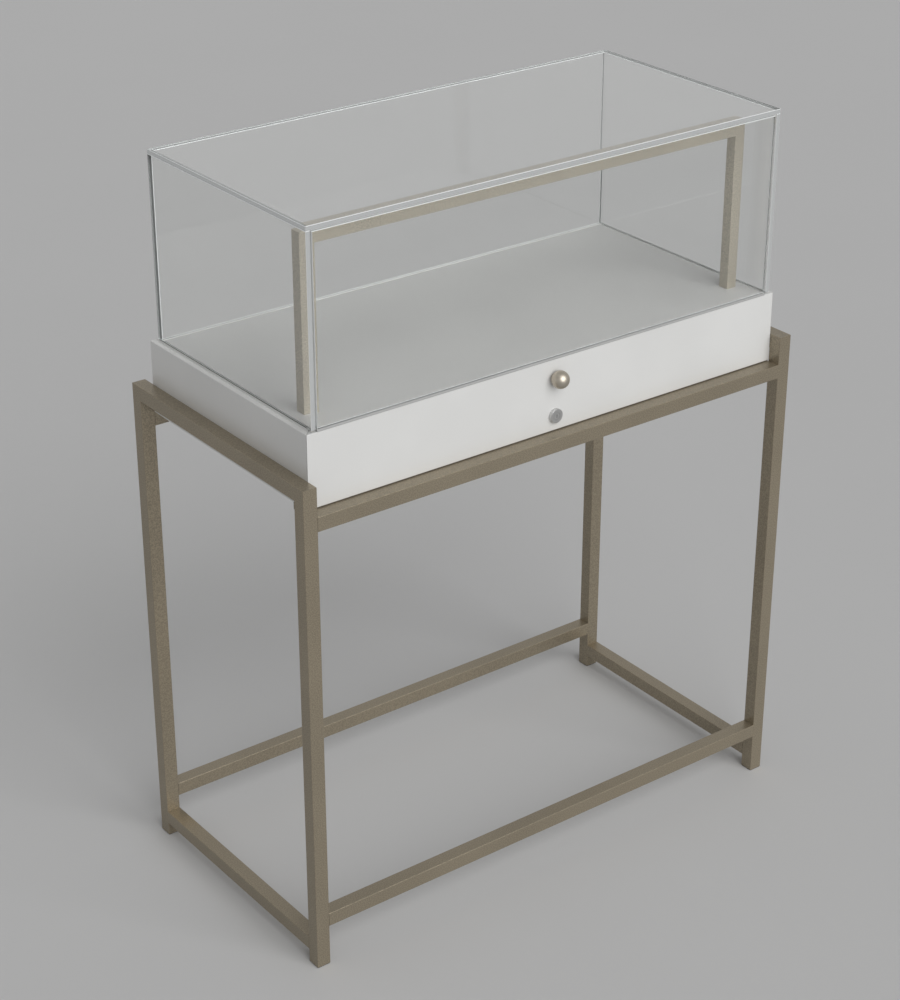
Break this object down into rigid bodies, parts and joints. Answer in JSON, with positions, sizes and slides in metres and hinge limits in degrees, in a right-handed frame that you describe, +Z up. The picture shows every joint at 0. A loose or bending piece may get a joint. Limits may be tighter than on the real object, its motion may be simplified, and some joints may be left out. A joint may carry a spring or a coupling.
{
  "type": "jewelry display case",
  "caption": "Free-standing jewelry display case: square-tube stand, white lacquered case with a clear glass hood, and a locking drawer that carries the display deck and front pane.",
  "frame": {"origin": "on the floor under the middle of the stand", "axes": "+Z up, front with the knob towards -Y, +X to the right seen from the front"},
  "size_m": [1, 0.5025, 1.273],
  "materials": {
    "stand_metal": "satin champagne powder coat with a fine metallic grain",
    "frame_metal": "satin champagne powder coat with a fine metallic grain",
    "glide_plastic": "matt moulded plastic",
    "white_lacquer": "white satin lacquer on board",
    "batten_paint": "dark brown matt paint on board",
    "drawer_board": "white satin lacquer on board",
    "deck_board": "pale matt lacquer on board",
    "clear_glass": "clear polished float glass",
    "knob_metal": "polished champagne plating",
    "lock_metal": "satin nickel",
    "plated_steel": "zinc plated",
    "slide_steel": "zinc plated rolled steel",
    "bumper_rubber": "soft translucent rubber"
  },
  "bodies": {
    "stand": {"leg_front_left": "stand_metal", "leg_front_right": "stand_metal", "leg_rear_left": "stand_metal", "leg_rear_right": "stand_metal", "top_side_rail_left": "stand_metal", "top_side_rail_right": "stand_metal", "low_side_rail_left": "stand_metal", "low_side_rail_right": "stand_metal", "top_rail_front": "stand_metal", "top_rail_rear": "stand_metal", "low_rail_front": "stand_metal", "low_rail_rear": "stand_metal", "foot_glides": "glide_plastic", "case_side_left": "white_lacquer", "case_side_right": "white_lacquer", "case_back": "white_lacquer", "case_floor": "white_lacquer", "floor_batten": "batten_paint", "hood_glass_top": "clear_glass", "hood_glass_left": "clear_glass", "hood_glass_right": "clear_glass", "hood_glass_back": "clear_glass", "case_bolts": "plated_steel", "rail_nuts": "plated_steel", "lock_strike": "plated_steel", "slide_outer_left": "slide_steel", "slide_outer_right": "slide_steel", "closing_bumpers": "bumper_rubber"},
    "drawer": {"drawer_front": "white_lacquer", "display_deck": "deck_board", "drawer_side_left": "drawer_board", "drawer_side_right": "drawer_board", "drawer_back": "drawer_board", "front_glass": "clear_glass", "frame_post_left": "frame_metal", "frame_post_right": "frame_metal", "frame_bar": "frame_metal", "knob": "knob_metal", "knob_screw": "plated_steel", "lock_body": "lock_metal", "lock_nut": "plated_steel", "slide_inner_left": "slide_steel", "slide_inner_right": "slide_steel"},
    "slide_left": {"slide_middle_left": "slide_steel"},
    "slide_right": {"slide_middle_right": "slide_steel"},
    "lock_core": {"lock_plug": "lock_metal", "lock_cam": "plated_steel", "cam_screw": "plated_steel"}
  },
  "joints": [
    {"name": "drawer_slide", "type": "slide", "parent": "stand", "child": "drawer", "axis": [0, -1, 0], "range_m": [0, 0.38]},
    {"name": "slide_left_travel", "type": "slide", "parent": "stand", "child": "slide_left", "axis": [0, -1, 0], "range_m": [0, 0.19]},
    {"name": "slide_right_travel", "type": "slide", "parent": "stand", "child": "slide_right", "axis": [0, -1, 0], "range_m": [0, 0.19]},
    {"name": "lock_turn", "type": "hinge", "parent": "drawer", "child": "lock_core", "pos_m": [0, -0.2, 0.853], "axis": [0, 1, 0], "range_deg": [0, 90]}
  ],
  "couplings": [
    {"joint": "slide_left_travel", "follows": "drawer_slide", "ratio": 0.5},
    {"joint": "slide_right_travel", "follows": "drawer_slide", "ratio": 0.5}
  ]
}
